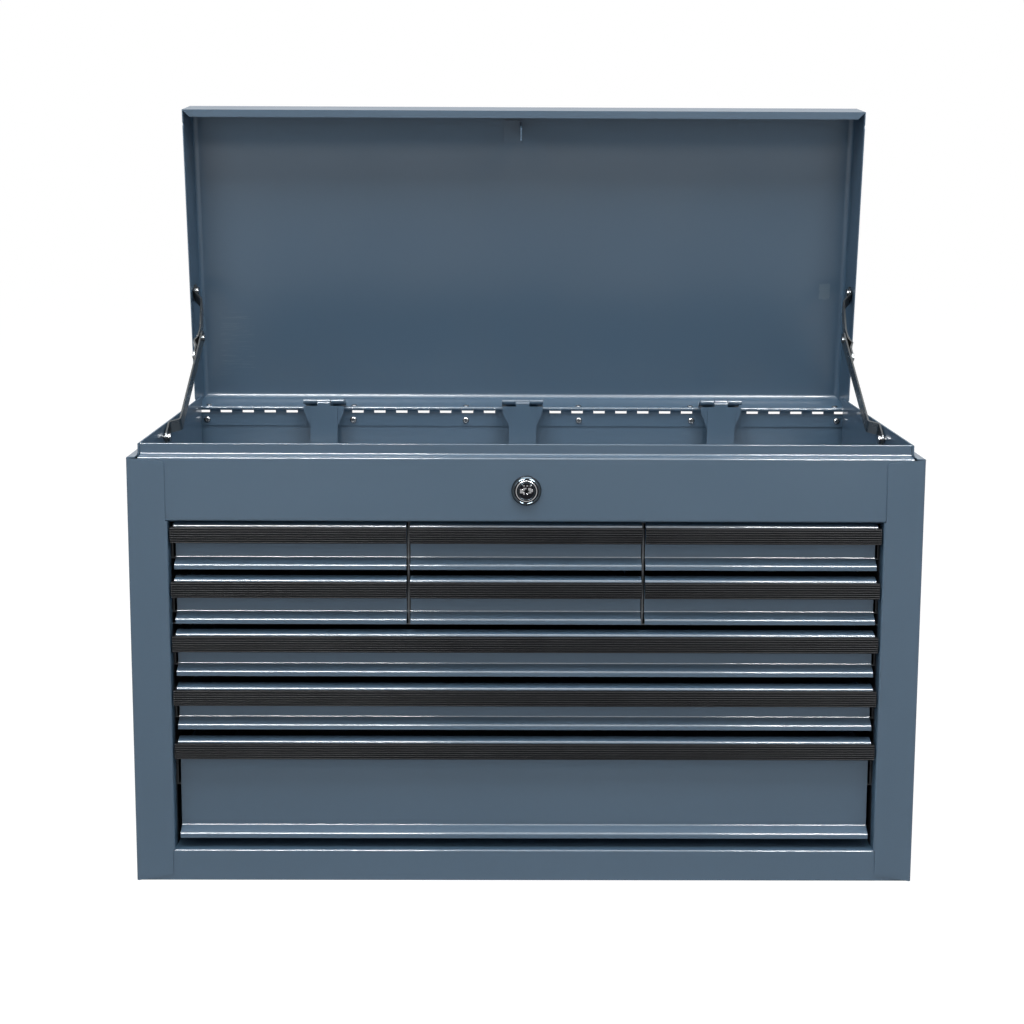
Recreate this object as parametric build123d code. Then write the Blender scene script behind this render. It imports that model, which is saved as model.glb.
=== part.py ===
"""Nine-drawer steel tool chest with a lift lid, drawn with the lid open and the drawers shut.

Millimetres. X runs to the right, Y from the front face (Y = 0) to the rear, Z up from the floor.
Finished pieces are moved so that the origin is the centre of the base.
"""
from build123d import *
import os
from math import atan2, cos, degrees, hypot, radians, sin, sqrt

# ---- overall sizes
WIDTH = 660.0
DEPTH = 300.0
SHOULDER = 366.0  # top of the cabinet, where the lid rests
LID_HEIGHT = 48.0
LID_LEAN = 6.8  # degrees forward of upright when open
SHEET = 1.0
BEND = 0.8  # inner radius of a sheet-metal bend
WELD = 0.3  # gap between sheets that are only tacked together
RUN = 0.3  # running gap between pieces that slide past each other
BORE_GAP = 0.05  # radial gap of a pin in its bore

# ---- cabinet
POST_WIDTH = 33.0  # front flange of a side panel, outer face to the drawer opening
POST_RETURN = 12.0
POST_SEAM = 1.7  # the flange is cut back this much where it lies on the header and sill
POST_TOP_DROP = 3.2
POST_TOE_RISE = 5.5
POST_CORNER = 3.0
RIM_HEIGHT = 9.4
RIM_SIDE_INSET = 7.3
RIM_FRONT_INSET = 12.0
RIM_THICKNESS = 1.7  # folded double
RIM_HEM = 8.4
RIM_COVE = 1.8  # round between the shoulder and the rim
RIM_REAR_STOP = 10.0  # the side rims end this far before the rear face
OPENING_LOW = 27.0
OPENING_HIGH = 312.0
HEADER_RETURN = 13.0
SILL_RETURN = 24.0
REAR_WALL_DROP = 8.0  # rear wall top below the shoulder, so the hinge slots show daylight
LINER_FLANGE = 14.0
TILL_LIP = 12.0

# ---- drawers
COLUMN_GAP = 3.2
SIDE_GAP = 4.0  # drawer face to post
ROW_PITCH = 46.6
TOP_LIP_Z = 308.1  # front edge of the top row's pull
SMALL_FACE = 38.0
WIDE_FACE = 36.6
DEEP_FACE = 86.0
FACE_Y = 13.0
LIP_Y = 4.0
LIP_RISE = 3.0
PULL_DROP = 13.8
STEP_Y = 5.0
STEP_HEIGHT = 5.2
EDGE_HEIGHT = 3.3
DRAWER_BEND = 1.6
PAN_FLOOR_RISE = 4.0
PAN_TOP_DROP = 4.0
PAN_BAR_GAP = 12.5  # rear of the drawers before the lock bars
PARTITION_FRONT = 15.0
PARTITION_FOLD = 5.0
TRIM_HEIGHT = 15.2
TRIM_WALL = 1.5
TRIM_TOP_DROP = 1.6  # trim's top below the pull's lip, which shows as a line above it
TRIM_RIBS = 7
TRIM_RIB_DEPTH = 0.7
TRIM_CROWN = 1.0  # the trim's face stands this much further out at half height
TRIM_HOOK = 1.1
TRIM_SEAT = 0.1
TRIM_OUTER_OVERHANG = 2.6
TRIM_INNER_OVERHANG = 0.3

# ---- drawer slides
SLIDE_WIDTH = 11.3
SLIDE_HEIGHT = 27.0
SLIDE_SHEET = 1.2
SLIDE_REAR_GAP = 1.0
SLIDE_FRONT = 21.0
SLIDE_LIP = 8.3

# ---- hinge
HINGE_INSET = 3.25  # axis in front of the rear face
HINGE_DROP = 3.0  # axis below the shoulder
HINGE_HALF = 326.0
HINGE_KNUCKLES = 59
KNUCKLE_RADIUS = 2.25
KNUCKLE_GAP = 0.3
PIN_RADIUS = 1.2
LEAF_SHEET = 0.9
LEAF_DEPTH = 18.0
LEAF_NOTCH = 5.2
LEAF_RIVET_DROP = 12.0
LEAF_RIVET_X = (57.0, 170.5, 317.5)
RIVET_HEAD = 3.25
RIVET_DOME = 1.8
RIVET_SHANK = 1.6
RIVET_TAIL = 0.7

# ---- lid
LID_BEND = 6.0
LID_SEAT = 0.3  # shut lid above the shoulder
LID_FLANGE = 6.0
LID_NOTCH = 3.0
LID_NOTCH_SETBACK = 14.0
LID_HEEL = 6.0  # the skirts are cut away this near to the hinge axis

# ---- lock
LOCK_DROP = 27.5  # lock centre below the shoulder
BEZEL_RADIUS = 12.5
BEZEL_DEPTH = 3.0
LOCK_BODY_RADIUS = 9.5
LOCK_BODY_LENGTH = 19.0
NUT_RADIUS = 13.5
NUT_DEPTH = 3.0
PLUG_RADIUS = 7.5
PLUG_PROUD = 0.4
KEYWAY_WIDTH = 1.6
KEYWAY_LENGTH = 8.6
KEYWAY_DEPTH = 6.0
CAM_HUB = 8.0
CAM_SHEET = 2.2
CAM_REACH = 20.5
CAM_FINGER = 4.0
CAM_LEAD = 0.27  # rise of the finger's ends, as a slope from the lock's axis
CAM_TRAIL = 0.5
STRIKER_SHEET = 1.6
STRIKER_WIDTH = 12.4
STRIKER_X = -3.0
STRIKER_FOOT = 16.0
STRIKER_BAR = 3.0
CAM_SLACK = 0.6

# ---- lock bars
BAR_X = (-198.0, 0.0, 198.0)
BAR_WIDTH = 27.0
BAR_FLANGE = 9.0
BAR_SHEET = 1.2
BAR_STANDOFF = 20.5  # front of the bars before the rear wall
BAR_LOW = 44.0
BAR_EAR_WIDTH = 40.0
BAR_EAR_LOW = 362.0
BAR_EAR_TAPER = 15.0
BAR_EAR_ROOT = 300.0  # foot of the eared plate behind the bar's web
BAR_TOP = 367.5
BAR_FLANGE_TOP = 300.0
BAR_TRAVEL = 22.0
BAR_EYE_RADIUS = 2.75
BAR_EYE_WIDTH = 13.0
BAR_EYE_U = 10.8
BAR_EYE_V = -13.2
STRAP_WIDTH = 41.0
STRAP_EYE_GAP = 0.6
STRAP_SHEET = 1.2
STRAP_TOP = 16.0
STRAP_BEND_V = 5.6
STRAP_BEND_U = 4.2
STRAP_END_RISE = 2.0
GUIDE_Z = (70.0, 252.0)
GUIDE_HEIGHT = 16.0
GUIDE_FOOT = 10.0

# ---- folding stays
STAY_FOOT_SETBACK = 184.75  # foot pivot before the hinge axis
STAY_FOOT_RISE = 0.5  # foot pivot above the hinge axis
STAY_HEAD_U = 115.2
STAY_HEAD_V = 21.9
STAY_LOWER = 147.2
STAY_UPPER = 77.35
STAY_SHEET = 1.5
STAY_HALF_WIDTH = 6.5
STAY_TAIL = 35.0
STAY_LOWER_STANDOFF = 12.7  # inner faces of the links from the inner till wall
STAY_UPPER_STANDOFF = 10.2
STAY_FOOT_STANDOFF = 3.4
STAY_JOG = 14.0
STAY_JOG_RUN = 4.0
STAY_NECK = 9.7  # the upper link steps in this much just below its head
STAY_NECK_RUN = 14.0
STAY_WAVE = 7.0
STAY_WAVE_HEIGHT = 3.0
STAY_WAVE_START = 12.7
STAY_BEND = 1.5
STAY_PIN_REACH = 1.5  # pin heads at the elbow stand this proud
STAY_PIN = 2.5
STAY_HEAD = 4.2

# ---- side handles
HANDLE_Z = 262.0
HANDLE_HALF = 58.0
HANDLE_DROP = 42.0
HANDLE_ROD = 3.5
HANDLE_BEND = 10.0
HANDLE_EAR = 10.0
HANDLE_EAR_RADIUS = 5.5
HANDLE_PLATE = 1.2
HANDLE_PLATE_HEIGHT = 34.0
HANDLE_RIVET_INSET = 20.0

# ---- worked out from the sizes above
HALF = WIDTH / 2
OPEN_HALF = HALF - POST_WIDTH
LINER_FACE = OPEN_HALF + SHEET
FACE_HALF = OPEN_HALF - SIDE_GAP
COLUMN_WIDTH = (2 * FACE_HALF - 2 * COLUMN_GAP) / 3
PARTITION_X = (COLUMN_WIDTH + COLUMN_GAP) / 2
RIM_TOP = SHOULDER + RIM_HEIGHT
RIM_OUT_X = HALF - RIM_SIDE_INSET
RIM_IN_X = RIM_OUT_X - RIM_THICKNESS
REAR_INNER = DEPTH - SHEET
HINGE_Y = DEPTH - HINGE_INSET
HINGE_Z = SHOULDER - HINGE_DROP
OPEN_ANGLE = 90.0 - LID_LEAN
LID_V = SHOULDER + LID_SEAT - HINGE_Z  # free edge of the lid above the axis, lid shut
TILL_FLOOR = OPENING_HIGH - 4.0
SHELF_Z = TOP_LIP_Z - 2 * ROW_PITCH + LIP_RISE + 2.6
PIN_BORE = PIN_RADIUS + BORE_GAP
LEAF_FACE = REAR_INNER - LEAF_SHEET
LEAF_RIVET_Z = HINGE_Z - LEAF_RIVET_DROP
CAM_Y = LOCK_BODY_LENGTH + WELD
LOCK_Z = SHOULDER - LOCK_DROP
BAR_Y = REAR_INNER - BAR_STANDOFF
PAN_REAR = BAR_Y - PAN_BAR_GAP
SLIDE_LENGTH = PAN_REAR - SLIDE_REAR_GAP - SLIDE_FRONT
TILL_WALL_X = RIM_OUT_X - SHEET
STAY_FOOT_Y = HINGE_Y - STAY_FOOT_SETBACK
STAY_FOOT_Z = HINGE_Z + STAY_FOOT_RISE
STAY_LOWER_X = TILL_WALL_X - STAY_LOWER_STANDOFF
STAY_UPPER_X = TILL_WALL_X - STAY_UPPER_STANDOFF
STAY_FOOT_X = TILL_WALL_X - STAY_FOOT_STANDOFF
NODES = {}


# ---- drawing helpers
def block(x0, x1, y0, y1, z0, z1):
    centre = Pos((x0 + x1) / 2, (y0 + y1) / 2, (z0 + z1) / 2)
    return centre * Box(x1 - x0, y1 - y0, z1 - z0)


def rod_x(radius, x0, x1, y, z):
    return Pos((x0 + x1) / 2, y, z) * Rot(0, 90, 0) * Cylinder(radius, x1 - x0)


def rod_y(radius, y0, y1, x, z):
    return Pos(x, (y0 + y1) / 2, z) * Rot(90, 0, 0) * Cylinder(radius, y1 - y0)


def offset_path(path, distance):
    """The path moved sideways to its left by a distance, with mitred corners."""
    normals = []
    for (x0, y0), (x1, y1) in zip(path, path[1:]):
        length = hypot(x1 - x0, y1 - y0)
        normals.append(((y0 - y1) / length, (x1 - x0) / length))
    ends = [normals[0]] + normals + [normals[-1]]
    moved = []
    for (x, y), (ax, ay), (bx, by) in zip(path, ends, ends[1:]):
        share = distance / (1 + ax * bx + ay * by)
        moved.append((x + share * (ax + bx), y + share * (ay + by)))
    return moved


def turns(path):
    """For each corner of the path, True where it turns left."""
    result = []
    for (x0, y0), (x1, y1), (x2, y2) in zip(path, path[1:], path[2:]):
        result.append((x1 - x0) * (y2 - y1) - (y1 - y0) * (x2 - x1) > 0)
    return result


def sheet(path, thickness=SHEET, bend=BEND):
    """Section of a bent sheet: path is one face, and the metal lies to its left."""
    other = offset_path(path, thickness)
    if len(path) == 2:
        return make_face(Polyline(*path, *reversed(other), close=True))
    near = [bend + thickness if left else bend for left in turns(path)]
    far = [bend if left else bend + thickness for left in turns(path)]
    face = FilletPolyline(*path, radius=near)
    back = FilletPolyline(*other, radius=far)
    return make_face([face, Line(path[-1], other[-1]), back, Line(other[0], path[0])])


def along_x(section, x0, x1):
    """A section drawn in (Y, Z), drawn out along X."""
    return extrude(Plane.YZ.offset(x0) * section, x1 - x0)


def along_y(section, y0, y1):
    """A section drawn in (X, Z), drawn out along Y."""
    return extrude(Plane.XZ.offset(-y1) * section, y1 - y0)


def along_z(section, z0, z1):
    return extrude(Plane.XY.offset(z0) * section, z1 - z0)


def polygon(points, rounds=None):
    """A flat outline, with rounded corners where rounds gives a radius for each corner."""
    if rounds is None:
        return make_face(Polyline(*points, close=True))
    return make_face(FilletPolyline(*points, radius=rounds, close=True))


def both_sides(part):
    return [part, mirror(part, about=Plane.YZ)]


def keep(name, *solids):
    """Store a node: its solids, moved so that the origin is the centre of the base."""
    loose = [s for part in solids for s in part.solids()]
    moved = [s.moved(Location((0, -DEPTH / 2, 0))) for s in loose]
    NODES[name] = moved[0] if len(moved) == 1 else Compound(children=moved)


def cove():
    """Section of the round that fills a corner at the origin, towards -X and +Y."""
    square = Pos(-RIM_COVE / 2, RIM_COVE / 2) * Rectangle(RIM_COVE, RIM_COVE)
    return square - Pos(-RIM_COVE, RIM_COVE) * Circle(RIM_COVE)


# ---- cabinet sheet metal
def post_reliefs():
    """What is cut from the post's flange: its top and toe, where it lies on header and sill."""
    seam = OPEN_HALF + POST_SEAM
    past = OPEN_HALF - 1
    heel = HALF - BEND - SHEET
    head = OPENING_HIGH
    top = [
        (past, SHOULDER + 1),
        (heel, SHOULDER + 1),
        (heel, SHOULDER - SHEET),
        (seam, SHOULDER - POST_TOP_DROP - SHEET),
        (seam, head),
        (past, head),
    ]
    foot = OPENING_LOW
    toe = [
        (past, foot),
        (seam, foot),
        (seam, POST_TOE_RISE),
        (heel, 0),
        (heel, -1),
        (past, -1),
    ]
    cuts = [polygon(top, [0, 0, 0, POST_CORNER, 0, 0]), polygon(toe, [0, 0, POST_CORNER, 0, 0, 0])]
    return [along_y(cut, -1, POST_RETURN + 1) for cut in cuts]


def side_panel():
    """Right side: outer wall, shoulder, folded rim, inner till wall and front post."""
    plan = [(OPEN_HALF, POST_RETURN), (OPEN_HALF, 0), (HALF, 0), (HALF, DEPTH)]
    wrap = along_z(sheet(plan), 0, SHOULDER)
    for cut in post_reliefs():
        wrap -= cut
    rear_cut = DEPTH - RIM_REAR_STOP
    shoulder = block(RIM_OUT_X, HALF, 0, rear_cut, SHOULDER - SHEET, SHOULDER)
    corners = [(RIM_IN_X, -1), (HALF, -1), (HALF, SHOULDER), (RIM_IN_X, SHOULDER)]
    mould = along_y(polygon(corners, [0, 0, BEND + SHEET, 0]), -1, DEPTH + 1)
    post_side = block(OPEN_HALF - 1, RIM_IN_X, -1, DEPTH, -1, SHOULDER)
    outer = (wrap + shoulder) & (mould + post_side)
    front = RIM_FRONT_INSET
    rim = block(RIM_IN_X, RIM_OUT_X, front, rear_cut, SHOULDER - SHEET, RIM_TOP)
    rim -= block(RIM_IN_X, TILL_WALL_X, front, rear_cut, SHOULDER - SHEET, RIM_TOP - RIM_HEM)
    rim = fillet(rim.edges().filter_by(Axis.Y).group_by(Axis.Z)[-1], RIM_THICKNESS * 0.4)
    inner = block(TILL_WALL_X, RIM_OUT_X, front + 2, rear_cut, TILL_FLOOR + SHEET, SHOULDER)
    foot = along_y(Pos(RIM_OUT_X, SHOULDER) * mirror(cove(), about=Plane.YZ), front, rear_cut)
    panel = outer + rim + inner + foot
    for y, z in handle_rivet_places():
        panel -= rod_x(RIVET_SHANK + BORE_GAP, HALF - 2 * SHEET, HALF + SHEET, y, z)
    return panel


def front_header():
    """Top front rail: header face, shoulder and folded rim."""
    half = RIM_IN_X - 0.6
    path = [
        (SHEET + HEADER_RETURN, OPENING_HIGH),
        (SHEET, OPENING_HIGH),
        (SHEET, SHOULDER),
        (RIM_FRONT_INSET + RIM_THICKNESS, SHOULDER),
    ]
    flipped = list(reversed(path))
    rail = along_x(sheet(flipped), -half, half)
    rim_y = RIM_FRONT_INSET
    rim = block(-half, half, rim_y, rim_y + RIM_THICKNESS, SHOULDER - SHEET, RIM_TOP)
    rim = fillet(rim.edges().filter_by(Axis.X).group_by(Axis.Z)[-1], RIM_THICKNESS * 0.4)
    foot = along_x(Pos(rim_y, SHOULDER) * cove(), -half, half)
    wing_x = HALF - 2 * SHEET - WELD
    wing_top = SHOULDER - POST_TOP_DROP - 2 * SHEET
    wings = block(-wing_x, wing_x, SHEET, 2 * SHEET, OPENING_HIGH + 2, wing_top)
    seat = rod_y(LOCK_BODY_RADIUS + BORE_GAP, 0, 3 * SHEET, 0, LOCK_Z)
    return rail + rim + foot + wings - seat


def front_sill():
    """Bottom front rail, with its return over the front edge of the base."""
    path = [(SHEET + SILL_RETURN, OPENING_LOW), (SHEET, OPENING_LOW), (SHEET, 0)]
    half = HALF - 2 * SHEET - WELD
    sill = along_x(sheet(path), -half, half)
    reach = OPEN_HALF
    for side in (-1, 1):
        x0, x1 = sorted((side * reach, side * (half + 1)))
        sill -= block(x0, x1, 2 * SHEET, SILL_RETURN + 3, OPENING_LOW - 3, OPENING_LOW + 1)
    return sill


def back_panel():
    half = HALF - SHEET
    top = SHOULDER - REAR_WALL_DROP
    wall = block(-half, half, REAR_INNER, DEPTH, 0, top)
    for x in (-1, 1):
        edge = sorted((x * half, x * (half - SHEET)))
        wall += block(*edge, REAR_INNER - LINER_FLANGE, REAR_INNER, SHEET, SHOULDER - 14)
    for x in rivet_xs():
        wall -= rod_y(RIVET_SHANK + BORE_GAP, REAR_INNER - 1, DEPTH + 1, x, LEAF_RIVET_Z)
    return wall


def base_panel():
    half = HALF - SHEET - WELD
    floor = block(-half, half, 2 * SHEET, REAR_INNER, 0, SHEET)
    return floor


def till_floor():
    """Tray that closes the till, notched where the lock bars pass."""
    half = TILL_WALL_X - WELD
    front = SHEET + HEADER_RETURN + 2 * SHEET
    rear = REAR_INNER - SHEET
    tray = block(-half, half, front, rear, TILL_FLOOR, TILL_FLOOR + TILL_LIP)
    inside = (-half + SHEET, half - SHEET, front + SHEET, rear - SHEET)
    tray -= block(*inside, TILL_FLOOR + SHEET, TILL_FLOOR + TILL_LIP + 1)
    for x in BAR_X:
        reach = BAR_WIDTH / 2 + 2
        notch_y = (BAR_Y - 2, BAR_Y + BAR_FLANGE + BAR_SHEET + 3)
        tray -= block(x - reach, x + reach, *notch_y, TILL_FLOOR - 1, TILL_FLOOR + 2)
    return tray


def side_liner():
    """Right liner: the wall that carries the drawer slides, flanged top and bottom."""
    outer = LINER_FACE + LINER_FLANGE
    path = [(outer, SHEET), (LINER_FACE, SHEET), (LINER_FACE, TILL_FLOOR), (outer, TILL_FLOOR)]
    section = sheet(list(reversed(path)))
    return along_y(section, POST_RETURN + SHEET, REAR_INNER - WELD)


def partition_shelf():
    half = LINER_FACE
    return block(-half, half, PARTITION_FRONT, PAN_REAR + 6, SHELF_Z, SHELF_Z + SHEET)


def partition():
    x = PARTITION_X
    low = SHELF_Z + SHEET
    front = PARTITION_FRONT
    plate = block(x - SHEET / 2, x + SHEET / 2, front, PAN_REAR + 6, low, TILL_FLOOR)
    fold = block(x - SHEET / 2, x + SHEET, front, front + PARTITION_FOLD, low + 4, TILL_FLOOR - 4)
    return plate + fold


# ---- hinge
def knuckle_spans():
    pitch = 2 * HINGE_HALF / HINGE_KNUCKLES
    for n in range(HINGE_KNUCKLES):
        start = -HINGE_HALF + n * pitch
        yield n, start + KNUCKLE_GAP / 2, start + pitch - KNUCKLE_GAP / 2


def rivet_xs():
    return [side * x for x in LEAF_RIVET_X for side in (-1, 1)]


def hinge_leaf(first, direction):
    """One leaf in its own frame: axis along X at the origin, leaf hanging in the direction given."""
    near = LEAF_NOTCH * direction
    far = LEAF_DEPTH * direction
    y0 = LEAF_FACE - HINGE_Y
    y1 = REAR_INNER - HINGE_Y
    pieces = [block(-HINGE_HALF, HINGE_HALF, y0, y1, *sorted((near, far)))]
    for n, x0, x1 in knuckle_spans():
        if n % 2 != first:
            continue
        pieces.append(rod_x(KNUCKLE_RADIUS, x0, x1, 0, 0))
        pieces.append(block(x0, x1, y0, y1, *sorted((0, near))))
    leaf = pieces[0].fuse(*pieces[1:])
    leaf -= rod_x(PIN_BORE, -HINGE_HALF, HINGE_HALF, 0, 0)
    drop = LEAF_RIVET_DROP * direction
    for x in rivet_xs():
        leaf -= rod_y(RIVET_SHANK + BORE_GAP, y0 - 1, y1 + 1, x, drop)
    return leaf


def rivet(reach):
    """Domed rivet along +Y: head before the origin, shank through a stack, flat tail behind."""
    dome = rod_y(RIVET_HEAD, -RIVET_DOME, 0, 0, 0)
    dome = fillet(dome.edges().filter_by(GeomType.CIRCLE).group_by(Axis.Y)[0], RIVET_DOME * 0.9)
    shank = rod_y(RIVET_SHANK, 0, reach, 0, 0)
    tail = rod_y(RIVET_HEAD * 0.85, reach, reach + RIVET_TAIL, 0, 0)
    return dome + shank + tail


def cabinet_rivets():
    stack = SHEET + LEAF_SHEET
    hinge = [Pos(x, LEAF_FACE, LEAF_RIVET_Z) * rivet(stack) for x in rivet_xs()]
    handle = []
    for y, z in handle_rivet_places():
        place = Pos(HALF + HANDLE_PLATE, y, z) * Rot(0, 0, 90)
        handle += both_sides(place * rivet(HANDLE_PLATE + SHEET))
    return hinge + handle


# ---- lid, drawn shut and then swung open about the hinge axis
def swing_open(part):
    axis = Axis((0, HINGE_Y, HINGE_Z), (1, 0, 0))
    return part.rotate(axis, -OPEN_ANGLE)


def lid_point(u, v):
    """A place in the shut lid: u forward of the hinge axis, v above it."""
    return HINGE_Y - u, HINGE_Z + v


def open_point(u, v):
    lean = radians(LID_LEAN)
    y = HINGE_Y - u * sin(lean) + v * cos(lean)
    return y, HINGE_Z + u * cos(lean) + v * sin(lean)


def lid_shell():
    low = HINGE_Z + LID_V
    top = low + LID_HEIGHT
    skin = block(-HALF, HALF, 0, DEPTH, low - 10, top)
    skin = fillet(skin.edges().group_by(Axis.Z)[-1], LID_BEND)
    hollow_half = HALF - SHEET
    hollow = block(-hollow_half, hollow_half, SHEET, REAR_INNER, low - 11, top - SHEET)
    hollow = fillet(hollow.edges().group_by(Axis.Z)[-1], LID_BEND - SHEET)
    shell = skin - hollow
    shell -= block(-HALF - 1, HALF + 1, -1, DEPTH + 1, low - 11, low)
    heel = HINGE_Y - LID_HEEL - 2
    shell -= block(-HALF - 1, HALF + 1, heel, DEPTH + 1, low - 1, HINGE_Z + LID_HEEL)
    flange = [
        (-hollow_half, SHEET),
        (hollow_half, SHEET),
        (hollow_half - LID_FLANGE, SHEET + LID_FLANGE),
        (-hollow_half + LID_FLANGE, SHEET + LID_FLANGE),
    ]
    shell += along_z(polygon(flange), low, low + SHEET)
    for side in (-1, 1):
        x = side * (HALF - SHEET / 2)
        notch = Pos(x, LID_NOTCH_SETBACK, low) * Rot(45, 0, 0)
        shell -= notch * Box(2 * SHEET, LID_NOTCH, LID_NOTCH)
    for x in rivet_xs():
        hole_z = HINGE_Z + LEAF_RIVET_DROP
        shell -= rod_y(RIVET_SHANK + BORE_GAP, REAR_INNER - 1, DEPTH + 1, x, hole_z)
    y, z = lid_point(STAY_HEAD_U, STAY_HEAD_V)
    for side in (-1, 1):
        x0, x1 = sorted((side * (HALF + 1), side * (HALF - 2)))
        shell -= rod_x(STAY_PIN + BORE_GAP, x0, x1, y, z)
    return swing_open(shell)


def lid_rivets():
    """Rivets of the lid's hinge leaf, and the headed pins that the stays hang on."""
    stack = SHEET + LEAF_SHEET
    z = HINGE_Z + LEAF_RIVET_DROP
    rivets = [Pos(x, LEAF_FACE, z) * rivet(stack) for x in rivet_xs()]
    y, z = lid_point(STAY_HEAD_U, STAY_HEAD_V)
    inner = HALF - SHEET - WELD - STAY_SHEET - WELD
    pin = rod_x(STAY_PIN, inner, HALF + RIVET_TAIL, y, z)
    pin += rod_x(STAY_HEAD, inner - 2, inner, y, z)
    pin += rod_x(STAY_HEAD, HALF, HALF + RIVET_TAIL, y, z)
    return [swing_open(piece) for piece in rivets + both_sides(pin)]


def lid_striker():
    """Hooked plate that drops into the till and takes the lock's cam."""
    rear = RIM_FRONT_INSET + RIM_THICKNESS + 1.4 + STRIKER_WIDTH
    front = rear - STRIKER_WIDTH
    low = LOCK_Z + CAM_REACH - CAM_FINGER - CAM_SLACK - STRIKER_BAR
    top = HINGE_Z + LID_V + LID_HEIGHT - SHEET
    x0, x1 = STRIKER_X - STRIKER_SHEET / 2, STRIKER_X + STRIKER_SHEET / 2
    plate = block(x0, x1, front, rear, low, top)
    foot = block(x0 - STRIKER_FOOT, x1, front - 2, rear + 8, top - STRIKER_SHEET, top)
    slot_low = low + STRIKER_BAR
    slot_high = slot_low + CAM_FINGER + 2 * CAM_SLACK
    slot_y = (CAM_Y - CAM_SLACK, CAM_Y + CAM_SHEET + CAM_SLACK)
    plate -= block(x0 - 1, x1 + 1, *slot_y, slot_low, slot_high)
    return swing_open(plate + foot)


def lock_bar_strap(x):
    """Strap from the lid's rear skirt to the lock bar's eye, with an eye at each side."""
    u0 = LEAF_FACE * -1 + HINGE_Y
    path = [(u0, STRAP_TOP), (u0, STRAP_BEND_V), (STRAP_BEND_U, 0.0)]
    path.append((BAR_EYE_U, BAR_EYE_V + STRAP_END_RISE))
    drawn = [lid_point(u, v) for u, v in reversed(path)]
    plate = along_x(sheet(drawn, STRAP_SHEET, BEND), -STRAP_WIDTH / 2, STRAP_WIDTH / 2)
    y, z = lid_point(BAR_EYE_U, BAR_EYE_V)
    gap = BAR_EYE_WIDTH / 2 + STRAP_EYE_GAP
    plate += rod_x(BAR_EYE_RADIUS, -STRAP_WIDTH / 2, STRAP_WIDTH / 2, y, z)
    plate -= block(-gap, gap, y - 9, y + 9, z - 9, HINGE_Z + 1)
    return Pos(x, 0, 0) * swing_open(plate)


# ---- lock bars
def lock_bar(x):
    """Channel that slides behind the drawers, eared and eyed at its top."""
    web_y = BAR_Y
    half = BAR_WIDTH / 2
    ear = BAR_EAR_WIDTH / 2
    ear_y = web_y + BAR_SHEET
    outline = [
        (-half, BAR_EAR_ROOT),
        (half, BAR_EAR_ROOT),
        (half, BAR_EAR_LOW - BAR_EAR_TAPER),
        (ear, BAR_EAR_LOW),
        (ear, BAR_TOP),
        (-ear, BAR_TOP),
        (-ear, BAR_EAR_LOW),
        (-half, BAR_EAR_LOW - BAR_EAR_TAPER),
    ]
    web = block(-half, half, web_y, ear_y, BAR_LOW, BAR_TOP)
    web += along_y(polygon(outline, [1, 1, 2, 2, 1, 1, 2, 2]), ear_y, ear_y + BAR_SHEET)
    flange_y = (web_y, web_y + BAR_FLANGE)
    for side in (-1, 1):
        edge = sorted((side * half, side * (half - BAR_SHEET)))
        web += block(*edge, *flange_y, BAR_LOW, BAR_FLANGE_TOP)
    eye_y, eye_z = open_point(BAR_EYE_U, BAR_EYE_V)
    eye_half = BAR_EYE_WIDTH / 2
    path = [(web_y, BAR_TOP - 4), (web_y, eye_z - 1), (eye_y, eye_z + BAR_EYE_RADIUS)]
    tongue = along_x(sheet(list(reversed(path)), BAR_SHEET), -eye_half, eye_half)
    eye = rod_x(BAR_EYE_RADIUS, -eye_half, eye_half, eye_y, eye_z)
    return Pos(x, 0, 0) * (web + tongue + eye)


def lock_bar_guide(x, z):
    """Hat-shaped bracket on the rear wall that holds a lock bar."""
    inner = BAR_WIDTH / 2 + RUN
    front = BAR_Y - RUN
    foot = inner + BAR_SHEET + GUIDE_FOOT
    hat = [(foot, REAR_INNER), (inner, REAR_INNER), (inner, front)]
    hat += [(-inner, front), (-inner, REAR_INNER), (-foot, REAR_INNER)]
    section = sheet(hat, BAR_SHEET, 0.5)
    return Pos(x, 0, 0) * along_z(section, z, z + GUIDE_HEIGHT)


# ---- lock
def lock_housing():
    body = rod_y(LOCK_BODY_RADIUS, -BEZEL_DEPTH, LOCK_BODY_LENGTH, 0, LOCK_Z)
    bezel = rod_y(BEZEL_RADIUS, -BEZEL_DEPTH, SHEET, 0, LOCK_Z)
    edge = bezel.edges().filter_by(GeomType.CIRCLE).group_by(Axis.Y)[0]
    bezel = fillet(edge, BEZEL_DEPTH * 0.7)
    dish = rod_y(PLUG_RADIUS + 2.2, -BEZEL_DEPTH - 1, -BEZEL_DEPTH + 1.2, 0, LOCK_Z)
    bore = rod_y(PLUG_RADIUS + BORE_GAP, -BEZEL_DEPTH - 1, LOCK_BODY_LENGTH + 1, 0, LOCK_Z)
    return body + bezel - dish - bore


def lock_nut():
    ring = rod_y(NUT_RADIUS, 2 * SHEET, 2 * SHEET + NUT_DEPTH, 0, LOCK_Z)
    return ring - rod_y(LOCK_BODY_RADIUS + BORE_GAP, SHEET, 9, 0, LOCK_Z)


def lock_plug():
    face = -BEZEL_DEPTH + PLUG_PROUD
    plug = rod_y(PLUG_RADIUS, face, CAM_Y, 0, LOCK_Z)
    stub = rod_y(PLUG_RADIUS / 2, CAM_Y, CAM_Y + CAM_SHEET + 2, 0, LOCK_Z)
    key_x = KEYWAY_LENGTH / 2
    key_z = KEYWAY_WIDTH / 2
    slot = block(-key_x, key_x, face - 1, face + KEYWAY_DEPTH, LOCK_Z - key_z, LOCK_Z + key_z)
    return plug + stub - slot


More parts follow.
